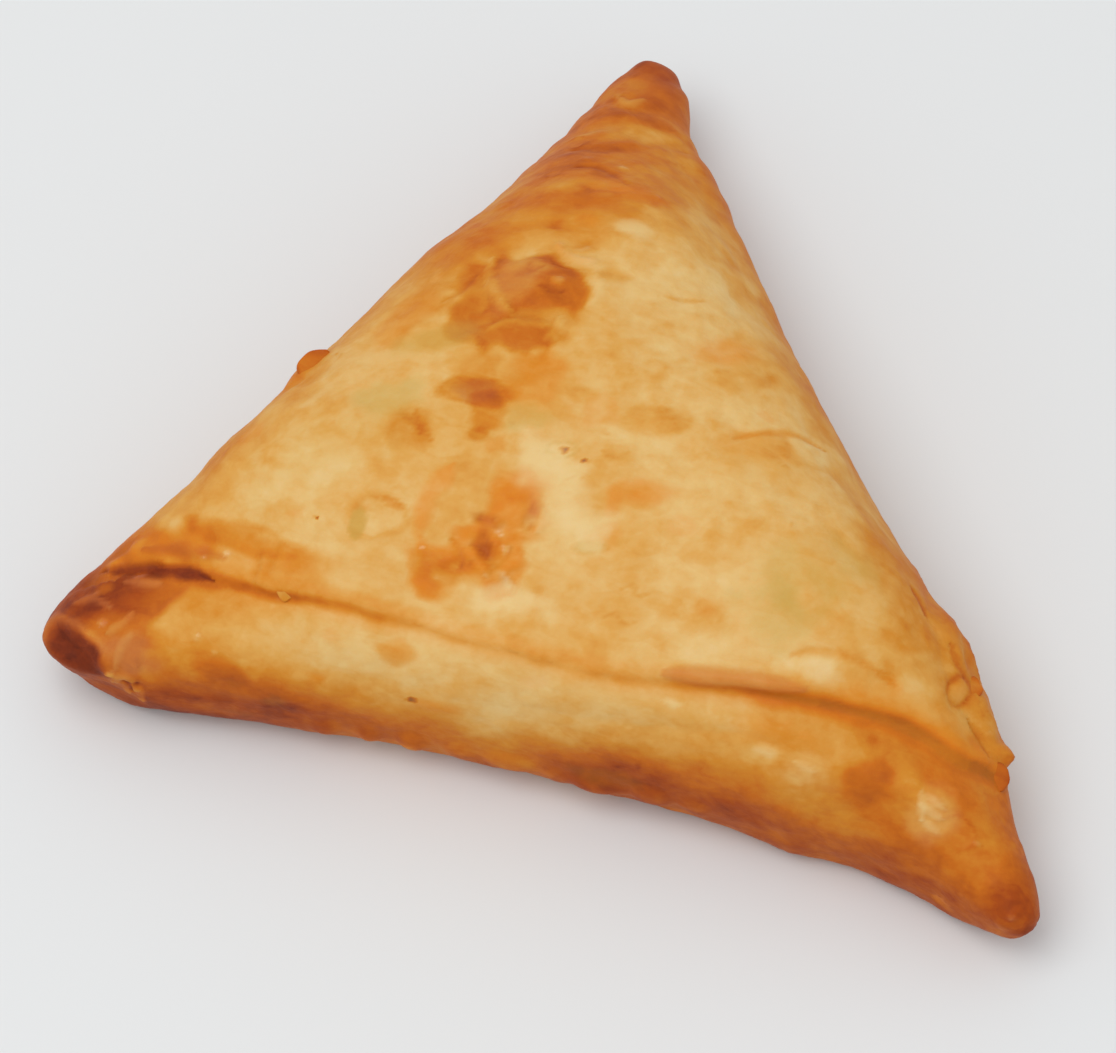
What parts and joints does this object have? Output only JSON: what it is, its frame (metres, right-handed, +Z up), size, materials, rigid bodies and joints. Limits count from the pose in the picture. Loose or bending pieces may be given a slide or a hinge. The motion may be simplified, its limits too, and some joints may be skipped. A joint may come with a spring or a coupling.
{
  "type": "samosa",
  "caption": "Fried samosa: thin pastry folded into a filled triangle, with a pillowed top, a rolled front side under a free seam, and pinched corners",
  "frame": {"origin": "on the surface that the samosa lies on, under the middle of its bounding box", "axes": "+X along the rolled front side, from its blunt left end to its pointed right end; +Y from the rolled side to the back corner; +Z up"},
  "size_m": [0.1036, 0.0856, 0.0272],
  "materials": {
    "fried_pastry": "fried golden pastry, mottled pale and brown, with a thin uneven sheen of oil"
  },
  "bodies": {
    "root": {"samosa": "fried_pastry"}
  },
  "joints": []
}
